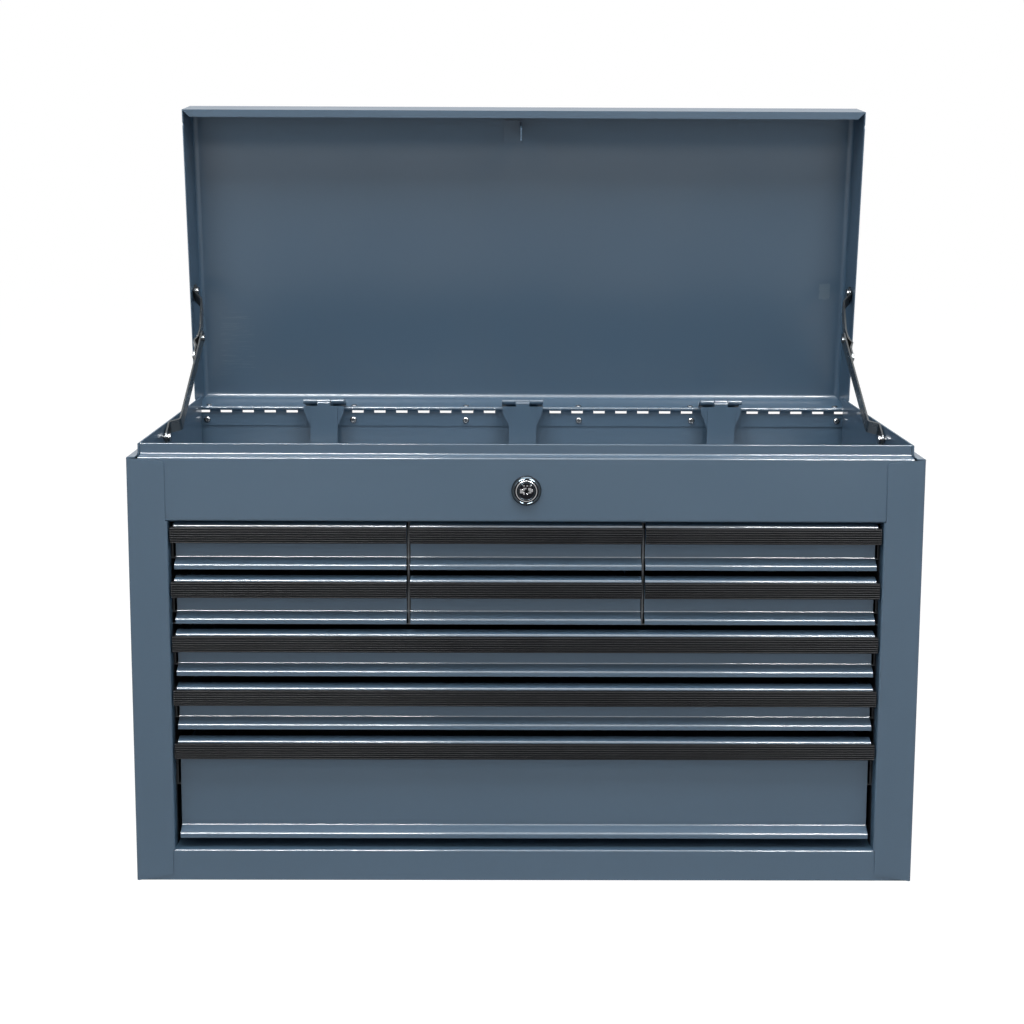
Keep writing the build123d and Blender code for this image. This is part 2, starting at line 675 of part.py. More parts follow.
def lock_cam():
    """Cam behind the plug: a hub, a spoke and a curved finger that turns into the striker."""
    outer, inner = CAM_REACH, CAM_REACH - CAM_FINGER
    ring = Circle(outer) - Circle(inner)
    past = 2 * outer
    wedge = polygon([(0, 0), (past, -past * CAM_TRAIL), (past, past * CAM_LEAD)])
    spoke = polygon([(0, -7), (inner + 1, -9), (inner + 1, 0), (0, 2)])
    shape = Circle(CAM_HUB) + spoke + (ring & wedge)
    shape -= Circle(PLUG_RADIUS / 2 + BORE_GAP)
    return Pos(0, 0, LOCK_Z) * along_y(shape, CAM_Y, CAM_Y + CAM_SHEET)


# ---- folding stays, right-hand side
def stay_places():
    """Foot on the cabinet, elbow and head on the lid, all as (Y, Z) with the lid open."""
    foot = (STAY_FOOT_Y, STAY_FOOT_Z)
    head = open_point(STAY_HEAD_U, STAY_HEAD_V)
    reach = hypot(head[0] - foot[0], head[1] - foot[1])
    slope = atan2(head[1] - foot[1], head[0] - foot[0])
    cosine = (STAY_LOWER**2 + reach**2 - STAY_UPPER**2) / (2 * STAY_LOWER * reach)
    drop = sqrt(max(0.0, 1 - cosine**2))
    along = (cos(slope), sin(slope))
    elbow_y = foot[0] + STAY_LOWER * (along[0] * cosine + along[1] * drop)
    elbow_z = foot[1] + STAY_LOWER * (along[1] * cosine - along[0] * drop)
    return foot, (elbow_y, elbow_z), head


def bar_outline(length, tail, lead):
    """Round-ended flat bar, from tail before the first pin to lead past the second."""
    half = STAY_HALF_WIDTH
    left, right = -tail, length + lead
    points = [(left, -half), (right, -half), (right, half), (left, half)]
    return polygon(points, [half - 0.2] * 4)


def place_stay(part, start, end):
    """Stand a link drawn along +Y at the origin on its first pin, aimed at its second."""
    slope = degrees(atan2(end[1] - start[1], end[0] - start[0]))
    return Pos(0, start[0], start[1]) * Rot(slope, 0, 0) * part


def link(length, tail, lead, stations):
    """A link in its own frame: pins along +Y, bent in X as the stations (Y, X) say."""
    strip = sheet(stations, STAY_SHEET, STAY_BEND)
    height = STAY_HALF_WIDTH
    upright = Plane.XY.offset(-height) * Rot(0, 0, 90) * mirror(strip, about=Plane.XZ)
    band = extrude(upright, 2 * height)
    outline = extrude(Plane.YZ * bar_outline(length, tail, lead), HALF)
    return band & outline


def stay_lower():
    foot, elbow, head = stay_places()
    end = STAY_LOWER + STAY_HALF_WIDTH + 1
    start = -STAY_HALF_WIDTH
    stations = [
        (start, STAY_FOOT_X),
        (STAY_JOG, STAY_FOOT_X),
        (STAY_JOG + STAY_JOG_RUN, STAY_LOWER_X),
        (end, STAY_LOWER_X),
    ]
    bar = link(STAY_LOWER, STAY_HALF_WIDTH, STAY_HALF_WIDTH + 1, stations)
    bar -= rod_x(STAY_PIN + BORE_GAP, STAY_FOOT_X - 4, STAY_FOOT_X + 4, 0, 0)
    bar += rod_x(STAY_HEAD * 0.8, STAY_LOWER_X - STAY_PIN_REACH, STAY_LOWER_X, STAY_LOWER, 0)
    return place_stay(bar, foot, elbow)


def stay_upper():
    foot, elbow, head = stay_places()
    head_x = HALF - SHEET - WELD - STAY_SHEET
    end = STAY_UPPER + STAY_TAIL
    wave = STAY_UPPER + STAY_WAVE_START
    crest = STAY_UPPER_X + STAY_WAVE_HEIGHT
    outer = STAY_UPPER_X + STAY_SHEET
    neck = STAY_HALF_WIDTH + 1
    stations = [
        (-STAY_HALF_WIDTH, head_x),
        (neck, head_x),
        (neck + STAY_NECK_RUN, head_x - STAY_NECK),
        (STAY_UPPER - STAY_HALF_WIDTH - 2, STAY_UPPER_X),
        (wave - STAY_WAVE, STAY_UPPER_X),
        (wave, crest),
        (wave + STAY_WAVE, STAY_UPPER_X),
        (end, STAY_UPPER_X),
    ]
    bar = link(STAY_UPPER, STAY_HALF_WIDTH, STAY_TAIL, stations)
    bar -= rod_x(STAY_PIN + BORE_GAP, head_x - 4, head_x + 4, 0, 0)
    bar += rod_x(STAY_HEAD * 0.8, outer, outer + STAY_PIN_REACH, STAY_UPPER, 0)
    bar += rod_x(STAY_HEAD * 0.7, outer, outer + STAY_PIN_REACH, end - STAY_HALF_WIDTH, 0)
    return place_stay(bar, head, elbow)


def stay_pivot():
    """Shouldered rivet that carries the stay's foot on the till wall."""
    wall = TILL_WALL_X
    inner = STAY_FOOT_X - WELD
    pin = rod_x(STAY_PIN, inner, wall, STAY_FOOT_Y, STAY_FOOT_Z)
    pin += rod_x(STAY_HEAD, inner - 2.4, inner, STAY_FOOT_Y, STAY_FOOT_Z)
    shoulder = STAY_FOOT_X + STAY_SHEET + WELD
    pin += rod_x(STAY_HEAD * 0.8, shoulder, wall, STAY_FOOT_Y, STAY_FOOT_Z)
    return pin


# ---- side handles, right-hand side
def handle_axis_x():
    return HALF + HANDLE_PLATE + HANDLE_EAR_RADIUS - 0.8


def handle_rivet_places():
    middle = DEPTH / 2
    reach = HANDLE_HALF - HANDLE_RIVET_INSET
    z = HANDLE_Z + HANDLE_PLATE_HEIGHT / 2 + HANDLE_EAR_RADIUS
    return [(middle - reach, z), (middle + reach, z)]


def handle_plate():
    middle = DEPTH / 2
    reach = HANDLE_HALF - 4
    low = HANDLE_Z - HANDLE_EAR_RADIUS
    high = HANDLE_Z + HANDLE_PLATE_HEIGHT
    corners = [(middle - reach, low), (middle + reach, low), (middle + reach, high), (middle - reach, high)]
    plate = along_x(polygon(corners, [4] * 4), HALF, HALF + HANDLE_PLATE)
    x = handle_axis_x()
    for side in (-1, 1):
        y0, y1 = sorted((middle + side * (reach - HANDLE_EAR), middle + side * reach))
        plate += rod_y(HANDLE_EAR_RADIUS, y0, y1, x, HANDLE_Z)
    plate -= rod_y(HANDLE_ROD + BORE_GAP, middle - reach, middle + reach, x, HANDLE_Z)
    for y, z in handle_rivet_places():
        plate -= rod_x(RIVET_SHANK + BORE_GAP, HALF - 1, HALF + 3, y, z)
    return plate


def handle_bail():
    middle = DEPTH / 2
    x = handle_axis_x()
    reach = HANDLE_HALF - 4 - HANDLE_EAR - 2
    points = [
        (x, middle - reach, HANDLE_Z),
        (x, middle - HANDLE_HALF - 8, HANDLE_Z),
        (x, middle - HANDLE_HALF - 8, HANDLE_Z - HANDLE_DROP),
        (x, middle + HANDLE_HALF + 8, HANDLE_Z - HANDLE_DROP),
        (x, middle + HANDLE_HALF + 8, HANDLE_Z),
        (x, middle + reach, HANDLE_Z),
    ]
    route = FilletPolyline(*points, radius=HANDLE_BEND)
    section = Plane(origin=points[0], z_dir=(0, -1, 0)) * Circle(HANDLE_ROD)
    return sweep(section, path=route)


# ---- drawers
def drawer_plan():
    """Each drawer as (name, left edge, right edge, lip height, face height)."""
    columns = []
    for n, word in enumerate(("left", "middle", "right")):
        left = -FACE_HALF + n * (COLUMN_WIDTH + COLUMN_GAP)
        columns.append((word, left, left + COLUMN_WIDTH))
    plan = []
    for row in (0, 1):
        for word, left, right in columns:
            name = f"drawer_{row + 1}_{word}"
            plan.append((name, left, right, TOP_LIP_Z - row * ROW_PITCH, SMALL_FACE))
    for row in (2, 3):
        plan.append((f"drawer_{row + 1}", -FACE_HALF, FACE_HALF, TOP_LIP_Z - row * ROW_PITCH, WIDE_FACE))
    plan.append(("drawer_5", -FACE_HALF, FACE_HALF, TOP_LIP_Z - 4 * ROW_PITCH, DEEP_FACE))
    return plan


def pan_walls(left, right):
    """Outer faces of a drawer's side walls, one slide's width from what carries it."""
    inner_wall = PARTITION_X - SHEET / 2
    outer_wall = PARTITION_X + SHEET / 2
    west = -LINER_FACE if left < -FACE_HALF + 1 else (outer_wall if left > 0 else -inner_wall)
    east = LINER_FACE if right > FACE_HALF - 1 else (-outer_wall if right < 0 else inner_wall)
    return west + SLIDE_WIDTH, east - SLIDE_WIDTH


def drawer_front(left, right, lip, face):
    low = lip - face
    inner = FACE_Y + SHEET
    back_step = STEP_Y + SHEET
    path = [
        (back_step, low),
        (back_step, low + EDGE_HEIGHT),
        (inner, low + EDGE_HEIGHT + STEP_HEIGHT),
        (inner, lip + LIP_RISE),
        (LIP_Y, lip),
        (LIP_Y, lip - PULL_DROP),
    ]
    return along_x(sheet(path, SHEET, DRAWER_BEND), left, right)


def drawer_box(left, right, lip, face):
    west, east = pan_walls(left, right)
    low = lip - face + PAN_FLOOR_RISE
    high = lip - PAN_TOP_DROP
    front = FACE_Y + SHEET
    tub = block(west, east, front, PAN_REAR, low, high)
    tub -= block(west + SHEET, east - SHEET, front, PAN_REAR - SHEET, low + SHEET, high + 1)
    return tub + drawer_front(left, right, lip, face)


def crown(front, z, low, top):
    """Y of the trim's grooves at a height: a shallow parabola from its foot to its top."""
    share = (2 * z - low - top) / (top - low)
    return front - TRIM_CROWN * (1 - share**2)


def trim_section(lip):
    """Ribbed pull trim that hooks under the pull's turned-down flange."""
    top = lip - TRIM_TOP_DROP
    low = lip - TRIM_HEIGHT
    front = LIP_Y - TRIM_SEAT - TRIM_WALL
    back = LIP_Y - TRIM_SEAT
    pitch = (top - low) / TRIM_RIBS
    edges = []
    for n in range(TRIM_RIBS):
        z = low + n * pitch
        start, end, following = [(crown(front, h, low, top), h) for h in (z, z + pitch * 0.68, z + pitch)]
        middle = z + pitch * 0.34
        crest = (crown(front, middle, low, top) - TRIM_RIB_DEPTH, middle)
        edges += [ThreePointArc(start, crest, end), Line(end, following)]
    hook_y = LIP_Y + SHEET + TRIM_SEAT
    shelf = low + TRIM_HOOK
    edges.append(
        Polyline(
            (front, top),
            (back, top),
            (back, shelf),
            (hook_y, shelf),
            (hook_y, shelf + 2.2),
            (hook_y + TRIM_HOOK, shelf + 2.2),
            (hook_y + TRIM_HOOK, low),
            (front, low),
        )
    )
    return make_face(edges)


def drawer_trim(left, right, lip):
    west = TRIM_OUTER_OVERHANG if left < -FACE_HALF + 1 else TRIM_INNER_OVERHANG
    east = TRIM_OUTER_OVERHANG if right > FACE_HALF - 1 else TRIM_INNER_OVERHANG
    return along_x(trim_section(lip), left - west, right + east)


def slide_middle(lip, face):
    """Height of a drawer's slides: middle of a shallow side wall, upper part of a deep one."""
    low = lip - face + PAN_FLOOR_RISE
    high = lip - PAN_TOP_DROP
    return max((low + high) / 2, high - SLIDE_HEIGHT)


def channel(x_web, toward, height, z, sheet_size, lip_reach):
    """C-shaped slide member: web at x_web, lips running toward +1 or -1."""
    tip = x_web + toward * lip_reach
    half = height / 2
    y0, y1 = SLIDE_FRONT, SLIDE_FRONT + SLIDE_LENGTH
    web = block(*sorted((x_web, x_web + toward * sheet_size)), y0, y1, z - half, z + half)
    upper = block(*sorted((x_web, tip)), y0, y1, z + half - sheet_size, z + half)
    lower = block(*sorted((x_web, tip)), y0, y1, z - half, z - half + sheet_size)
    return web + upper + lower


def drawer_slides(left, right, lip, face):
    """The fixed channels and the runners on a drawer's side walls."""
    west, east = pan_walls(left, right)
    z = slide_middle(lip, face)
    runner_height = SLIDE_HEIGHT - 2 * SLIDE_SHEET - 2 * RUN
    fixed, moving = [], []
    for wall, toward in ((west, -1), (east, 1)):
        carrier = wall + toward * SLIDE_WIDTH
        fixed.append(channel(carrier, -toward, SLIDE_HEIGHT, z, SLIDE_SHEET, SLIDE_LIP))
        moving.append(channel(wall, toward, runner_height, z, SLIDE_SHEET, SLIDE_LIP))
    return fixed, moving


# ---- all pieces
def build_cabinet():
    right, left = both_sides(side_panel())
    keep("side_panel_right", right)
    keep("side_panel_left", left)
    keep("back_panel", back_panel())
    keep("base_panel", base_panel())
    keep("front_header", front_header())
    keep("front_sill", front_sill())
    keep("till_floor", till_floor())
    keep("side_liners", *both_sides(side_liner()))
    keep("drawer_partitions", *both_sides(partition()))
    keep("partition_shelf", partition_shelf())
    keep("cabinet_rivets", *cabinet_rivets())
    keep("stay_pivots", *both_sides(stay_pivot()))
    keep("handle_plates", *both_sides(handle_plate()))
    keep("lock_bar_guides", *[lock_bar_guide(x, z) for x in BAR_X for z in GUIDE_Z])


def build_hinge():
    fixed = hinge_leaf(1, -1)
    keep("hinge_leaf_cabinet", Pos(0, HINGE_Y, HINGE_Z) * fixed)
    moving = Pos(0, HINGE_Y, HINGE_Z) * hinge_leaf(0, 1)
    keep("hinge_leaf_lid", swing_open(moving))
    keep("hinge_pin", rod_x(PIN_RADIUS, -HINGE_HALF, HINGE_HALF, HINGE_Y, HINGE_Z))


def build_lid():
    keep("lid_shell", lid_shell())
    keep("lid_rivets", *lid_rivets())
    keep("lid_striker", lid_striker())
    keep("lock_bar_straps", *[lock_bar_strap(x) for x in BAR_X])


def build_lock():
    keep("lock_housing", lock_housing())
    keep("lock_nut", lock_nut())
    keep("lock_plug", lock_plug())
    keep("lock_cam", lock_cam())
    keep("lock_bars", *[lock_bar(x) for x in BAR_X])


def build_stays_and_handles():
    for name, part in (("stay_lower", stay_lower()), ("stay_upper", stay_upper()), ("handle", handle_bail())):
        right, left = both_sides(part)
        keep(f"{name}_right", right)
        keep(f"{name}_left", left)


def build_drawers():
    channels = []
    for name, left, right, lip, face in drawer_plan():
        keep(f"{name}_box", drawer_box(left, right, lip, face))
        keep(f"{name}_trim", drawer_trim(left, right, lip))
        fixed, moving = drawer_slides(left, right, lip, face)
        keep(f"{name}_runners", *moving)
        channels += fixed
    keep("slide_channels", *channels)


def main():
    build_cabinet()
    build_hinge()
    build_lid()
    build_lock()
    build_stays_and_handles()
    build_drawers()
    os.makedirs("parts", exist_ok=True)
    for name, shape in NODES.items():
        export_step(shape, f"parts/{name}.step")


main()
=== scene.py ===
import bpy
from math import cos, pi, radians, sin
from mathutils import Matrix, Vector


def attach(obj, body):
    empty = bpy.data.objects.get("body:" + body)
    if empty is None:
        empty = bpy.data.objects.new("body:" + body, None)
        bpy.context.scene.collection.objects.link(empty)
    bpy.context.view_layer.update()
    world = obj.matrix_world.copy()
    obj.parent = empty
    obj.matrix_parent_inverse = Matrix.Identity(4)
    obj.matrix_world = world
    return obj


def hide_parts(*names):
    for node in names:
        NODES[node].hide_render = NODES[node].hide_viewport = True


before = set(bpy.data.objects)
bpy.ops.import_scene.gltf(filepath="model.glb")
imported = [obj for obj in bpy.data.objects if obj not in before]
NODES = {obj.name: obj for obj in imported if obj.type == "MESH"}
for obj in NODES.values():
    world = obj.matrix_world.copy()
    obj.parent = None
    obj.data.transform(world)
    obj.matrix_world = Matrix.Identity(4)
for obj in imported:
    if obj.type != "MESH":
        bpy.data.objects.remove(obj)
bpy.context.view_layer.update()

DRAWERS = [f"drawer_{row}_{place}" for row in (1, 2) for place in ("left", "middle", "right")]
DRAWERS += ["drawer_3", "drawer_4", "drawer_5"]

# ---- camera: square on to the front, just below the open lid's top, looking slightly down (m, radians)
EYE = Vector((-0.0197, -1.45, 0.600))
PITCH_DOWN = 0.1288
TURN_RIGHT = 0.00572
ROLL = 0.00398
LENS = 56.31
SENSOR = 36
LENS_SHIFT = -0.13
NEAREST, FURTHEST = 0.05, 50

# ---- room and floor
ROOM_TINT = (0.93, 0.97, 1.0, 1)
ROOM_LIGHT = 0.23  # the light that the room gives to the surfaces
WHITE_LIGHT = 1.0  # the room where it is seen, directly or in gloss
FLOOR_SIZE = 14
FLOOR_DROP = 0.0004
FLOOR_PAPER = (0.7, 0.7, 0.7, 1)
FLOOR_GLOW = 1.21
FLOOR_GLOW_SHARE = 0.8  # the rest is paper, which keeps the part's shadow

# ---- lock, centred on (x, z) in m; its profiles are in mm
LOCK = (0.0, 0.3385)
LOCK_SIDES = 72
KEY_CELL = (0.00135, 0.00115)  # width and height of one cell of the keyway's pattern
KEY_SLOT = ["########"]
KEY_WARDS = [
    "..#.#.#.",
    "........",
    "..##.##.",
    "###..###",
    "##....##",
    "###..##.",
    "..#.#...",
    "........",
    "........",
]
WARD_ROUNDING = 0.00015
CORNER_ANGLE = radians(40)  # edges sharper than this are bevelled
SMOOTH_ANGLE = radians(38)

# ---- colours (linear) of the finishes
PAINT = (0.056, 0.103, 0.158, 1)
PAINT_DEEP = (0.051, 0.096, 0.148, 1)
SCUFFED_PAINT = (0.105, 0.155, 0.200, 1)
TRIM_BLACK = (0.004, 0.0045, 0.006, 1)
TRIM_DUSTY = (0.009, 0.010, 0.012, 1)
PLATE = (0.26, 0.27, 0.28, 1)
# steel of the stays: its colour is darkened to stand in for the dark room it reflects, a painted dark
# reflection
STAY_COLOUR_PAINTED_SHADE = (0.13, 0.14, 0.145, 1)
# chrome of the lock: its colour is darkened to stand in for the dark room it reflects, a painted dark
# reflection
LOCK_CHROME_PAINTED_SHADE = (0.040, 0.052, 0.062, 1)
BRIGHT_CHROME = (0.55, 0.56, 0.57, 1)
LOCK_STEEL = (0.34, 0.34, 0.35, 1)
LOCK_BLACK = (0.008, 0.008, 0.010, 1)
SLIDE_STEEL = (0.08, 0.085, 0.09, 1)
DULL_SHARE = 0.82  # how dark plated steel is where it is dull

# ---- heights of the finishes' bumps (m)
PEEL_BUMP = 0.000008
GRAIN_BUMP = 0.000004

# ---- rubbed patches in the lid, by the left skirt and by the right stay
LEFT_SMEAR = {"Centre X": -0.292, "Centre Z": 0.424, "Half width": 0.018, "Half height": 0.034}
LEFT_SMEAR |= {"Solid": 0.0, "Strength": 0.35}
RIGHT_RUB = {"Centre X": 0.3085, "Centre Z": 0.4795, "Half width": 0.006, "Half height": 0.0085}
RIGHT_RUB |= {"Solid": 0.8, "Strength": 0.8}


# ---- shader nodes
def feed(tree, socket, value):
    """Put a plain value on a socket, or link another node's output to it."""
    if isinstance(value, bpy.types.NodeSocket):
        tree.links.new(value, socket)
    else:
        socket.default_value = value


def math_node(tree, operation, *values):
    node = tree.nodes.new("ShaderNodeMath")
    node.operation = operation
    for socket, value in zip(node.inputs, values):
        feed(tree, socket, value)
    return node.outputs[0]


def noise_node(tree, vector, scale, detail, rough=0.5):
    node = tree.nodes.new("ShaderNodeTexNoise")
    feed(tree, node.inputs["Vector"], vector)
    feed(tree, node.inputs["Scale"], scale)
    node.inputs["Detail"].default_value = detail
    node.inputs["Roughness"].default_value = rough
    return node.outputs["Fac"]


def range_node(tree, value, low, high, to_low=0.0, to_high=1.0):
    node = tree.nodes.new("ShaderNodeMapRange")
    feed(tree, node.inputs["Value"], value)
    node.inputs["From Min"].default_value = low
    node.inputs["From Max"].default_value = high
    node.inputs["To Min"].default_value = to_low
    node.inputs["To Max"].default_value = to_high
    return node.outputs["Result"]


def mapping_node(tree, vector, scale, turn=(0, 0, 0)):
    node = tree.nodes.new("ShaderNodeMapping")
    feed(tree, node.inputs["Vector"], vector)
    node.inputs["Rotation"].default_value = turn
    node.inputs["Scale"].default_value = scale
    return node.outputs["Vector"]


# ---- camera and light
def set_camera():
    ahead = cos(PITCH_DOWN)
    look = Vector((sin(TURN_RIGHT) * ahead, cos(TURN_RIGHT) * ahead, -sin(PITCH_DOWN)))
    level = Vector((cos(TURN_RIGHT), -sin(TURN_RIGHT), 0))
    upright = level.cross(look)
    right = cos(ROLL) * level + sin(ROLL) * upright
    up = cos(ROLL) * upright - sin(ROLL) * level
    lens = bpy.data.cameras.new("photo_camera")
    lens.lens = LENS
    lens.sensor_width = SENSOR
    lens.shift_y = LENS_SHIFT
    lens.clip_start = NEAREST
    lens.clip_end = FURTHEST
    camera = bpy.data.objects.new("photo_camera", lens)
    bpy.context.collection.objects.link(camera)
    turn = Matrix((right, up, -look)).transposed().to_4x4()
    camera.matrix_world = Matrix.Translation(EYE) @ turn
    bpy.context.scene.camera = camera


def soft_box(name, place, target, size, power, glint=False):
    """A rectangular lamp; a glint lamp is only seen in gloss, and adds no light to the surfaces."""
    lamp = bpy.data.lights.new(name, "AREA")
    lamp.shape = "RECTANGLE"
    lamp.size, lamp.size_y = size
    lamp.energy = power
    lit = bpy.data.objects.new(name, lamp)
    bpy.context.collection.objects.link(lit)
    lit.location = place
    lit.rotation_euler = (Vector(target) - Vector(place)).to_track_quat("-Z", "Y").to_euler()
    if glint:
        lit.visible_diffuse = False


def set_lights():
    soft_box("top_soft_box", (0, -0.7, 2.05), (0, -0.15, 0.3), (1.8, 0.8), 43)
    soft_box("left_soft_box", (-1.15, -1.3, 0.95), (-0.1, -0.15, 0.2), (0.6, 0.6), 3.5)
    soft_box("right_soft_box", (1.15, -1.3, 0.95), (0.1, -0.15, 0.2), (0.6, 0.6), 3)
    soft_box("left_glint", (-0.56, -1.45, 1.5), (-0.2, -0.15, 0.3), (0.84, 0.34), 110, glint=True)
    soft_box("right_glint", (0.82, -1.45, 1.5), (0.25, -0.15, 0.3), (0.8, 0.34), 120, glint=True)


def seen_background(tree):
    """1 on the rays that show the background: camera, glossy and transmission rays."""
    rays = tree.nodes.new("ShaderNodeLightPath").outputs
    seen = math_node(tree, "MAXIMUM", rays["Is Camera Ray"], rays["Is Glossy Ray"])
    return math_node(tree, "MAXIMUM", seen, rays["Is Transmission Ray"])


def mix_shaders(tree, share, first, second, output):
    mix = tree.nodes.new("ShaderNodeMixShader")
    tree.links.new(share, mix.inputs[0])
    tree.links.new(first.outputs[0], mix.inputs[1])
    tree.links.new(second.outputs[0], mix.inputs[2])
    tree.links.new(mix.outputs[0], output.inputs["Surface"])


def set_world():
    world = bpy.data.worlds.new("white_room")
    bpy.context.scene.world = world
    world.use_nodes = True
    tree = world.node_tree
    tree.nodes.clear()
    out = tree.nodes.new("ShaderNodeOutputWorld")
    room = tree.nodes.new("ShaderNodeBackground")
    room.inputs["Color"].default_value = ROOM_TINT
    room.inputs["Strength"].default_value = ROOM_LIGHT
    white = tree.nodes.new("ShaderNodeBackground")
    white.inputs["Color"].default_value = (1, 1, 1, 1)
    white.inputs["Strength"].default_value = WHITE_LIGHT
    mix_shaders(tree, seen_background(tree), room, white, out)


def set_floor():
    bpy.ops.mesh.primitive_plane_add(size=FLOOR_SIZE, location=(0, 0, -FLOOR_DROP))
    floor = bpy.context.object
    floor.name = "studio_floor"
    material = bpy.data.materials.new("white_floor")
    material.use_nodes = True
    tree = material.node_tree
    tree.nodes.clear()
    out = tree.nodes.new("ShaderNodeOutputMaterial")
    paper = tree.nodes.new("ShaderNodeBsdfDiffuse")
    paper.inputs["Color"].default_value = FLOOR_PAPER
    glow = tree.nodes.new("ShaderNodeEmission")
    glow.inputs["Strength"].default_value = FLOOR_GLOW
    share = math_node(tree, "MULTIPLY", seen_background(tree), FLOOR_GLOW_SHARE)
    mix_shaders(tree, share, paper, glow, out)
    floor.data.materials.append(material)


# ---- shared effects, as node groups
def start_group(name, numbers, outputs):
    """A shader node group that takes a Vector and the named numbers."""
    group = bpy.data.node_groups.new(name, "ShaderNodeTree")
    group.interface.new_socket("Vector", in_out="INPUT", socket_type="NodeSocketVector")
    for label, value in numbers.items():
        socket = group.interface.new_socket(label, in_out="INPUT", socket_type="NodeSocketFloat")
        socket.default_value = value
    for label in outputs:
        group.interface.new_socket(label, in_out="OUTPUT", socket_type="NodeSocketFloat")
    entry = group.nodes.new("NodeGroupInput")
    leave = group.nodes.new("NodeGroupOutput")
    return group, entry.outputs, leave.inputs


def orange_peel_group():
    """Powder coat's fine ripple: Height for a bump."""
    group, given, results = start_group("orange_peel", {"Scale": 420.0}, ["Height"])
    ripple = noise_node(group, given["Vector"], given["Scale"], 1.5)
    finer = math_node(group, "MULTIPLY", given["Scale"], 3.1)
    grit = noise_node(group, given["Vector"], finer, 2.0)
    feed(group, results["Height"], math_node(group, "MULTIPLY_ADD", grit, 0.3, ripple))
    return group


def handling_group():
    """Soft cloudy marks left by hands and wiping: Clouds for gloss and Tone for colour."""
    group, given, results = start_group("handling_marks", {"Scale": 9.0}, ["Clouds", "Tone"])
    clouds = noise_node(group, given["Vector"], given["Scale"], 5.0, 0.6)
    broader = math_node(group, "MULTIPLY", given["Scale"], 0.35)
    broad = noise_node(group, given["Vector"], broader, 2.0)
    feed(group, results["Clouds"], range_node(group, clouds, 0.3, 0.7))
    feed(group, results["Tone"], range_node(group, broad, 0.3, 0.7))
    return group


def grain_group():
    """Fine drawn lines of rolled or brushed metal, along X."""
    group, given, results = start_group("drawn_grain", {"Scale": 60.0}, ["Grain"])
    drawn = mapping_node(group, given["Vector"], (0.06, 1.0, 1.0))
    lines = noise_node(group, drawn, given["Scale"], 4.0, 0.65)
    feed(group, results["Grain"], range_node(group, lines, 0.3, 0.7))
    return group


def patch_group():
    """A torn-edged rubbed patch round a centre: Mask. Solid fills it, else only its strokes show."""
    numbers = {"Centre X": 0.0, "Centre Z": 0.0, "Half width": 0.01, "Half height": 0.01}
    numbers |= {"Strokes": 900.0, "Solid": 0.0, "Strength": 1.0}
    group, given, results = start_group("rubbed_patch", numbers, ["Mask"])
    parts = group.nodes.new("ShaderNodeSeparateXYZ")
    feed(group, parts.inputs[0], given["Vector"])
    shares = []
    for axis, half in (("X", "Half width"), ("Z", "Half height")):
        away = math_node(group, "SUBTRACT", parts.outputs[axis], given[f"Centre {axis}"])
        distance = math_node(group, "ABSOLUTE", away)
        shares.append(math_node(group, "DIVIDE", distance, given[half]))
    reach = math_node(group, "MAXIMUM", *shares)
    tear = noise_node(group, given["Vector"], 260.0, 3.0, 0.6)
    torn = math_node(group, "ADD", reach, math_node(group, "MULTIPLY", tear, 0.6))
    inside = range_node(group, torn, 1.3, 1.15)
    tilted = mapping_node(group, given["Vector"], (0.05, 1.0, 1.0), (0, radians(52), 0))
    lines = noise_node(group, tilted, given["Strokes"], 3.0, 0.6)
    strokes = math_node(group, "MAXIMUM", range_node(group, lines, 0.55, 0.63), given["Solid"])
    shown = math_node(group, "MULTIPLY", inside, strokes)
    feed(group, results["Mask"], math_node(group, "MULTIPLY", shown, given["Strength"]))
    return group


PEEL = orange_peel_group()
MARKS = handling_group()
GRAIN = grain_group()
PATCH = patch_group()


# ---- finishes
def start_finish(name):
    finish = bpy.data.materials.new(name)
    finish.use_nodes = True
    tree = finish.node_tree
    place = tree.nodes.new("ShaderNodeTexCoord").outputs["Object"]
    return finish, tree, tree.nodes["Principled BSDF"].inputs, place


def use_group(tree, group, place, numbers):
    node = tree.nodes.new("ShaderNodeGroup")
    node.node_tree = group
    tree.links.new(place, node.inputs["Vector"])
    for label, value in numbers.items():
        node.inputs[label].default_value = value
    return node.outputs


def blend_colour(tree, share, low, high):
    """Colour between two, where each is a plain colour or the output of another node."""
    node = tree.nodes.new("ShaderNodeMix")
    node.data_type = "RGBA"
    first, second = node.inputs[6], node.inputs[7]
    tree.links.new(share, node.inputs[0])
    feed(tree, first, low)
    feed(tree, second, high)
    return node.outputs[2]


def bump_from(tree, height, distance):
    bump = tree.nodes.new("ShaderNodeBump")
    bump.inputs["Distance"].default_value = distance
    bump.inputs["Strength"].default_value = 1.0
    tree.links.new(height, bump.inputs["Height"])
    return bump.outputs["Normal"]


def powder_coat(name, gloss, gloss_rough, scuffs=()):
    """Blue-grey semi-gloss powder coat, with rubbed patches."""
    finish, tree, shader, place = start_finish(name)
    peel = use_group(tree, PEEL, place, {"Scale": 430.0})
    marks = use_group(tree, MARKS, place, {"Scale": 8.0})
    colour = blend_colour(tree, marks["Tone"], PAINT_DEEP, PAINT)
    for scuff in scuffs:
        patch = use_group(tree, PATCH, place, scuff)
        colour = blend_colour(tree, patch["Mask"], colour, SCUFFED_PAINT)
    feed(tree, shader["Base Color"], colour)
    feed(tree, shader["Roughness"], range_node(tree, marks["Clouds"], 0, 1, 0.38, 0.46))
    feed(tree, shader["Specular IOR Level"], 0.2)
    feed(tree, shader["Coat Weight"], gloss)
    feed(tree, shader["Coat Roughness"], gloss_rough)
    feed(tree, shader["Normal"], bump_from(tree, peel["Height"], PEEL_BUMP))
    return finish


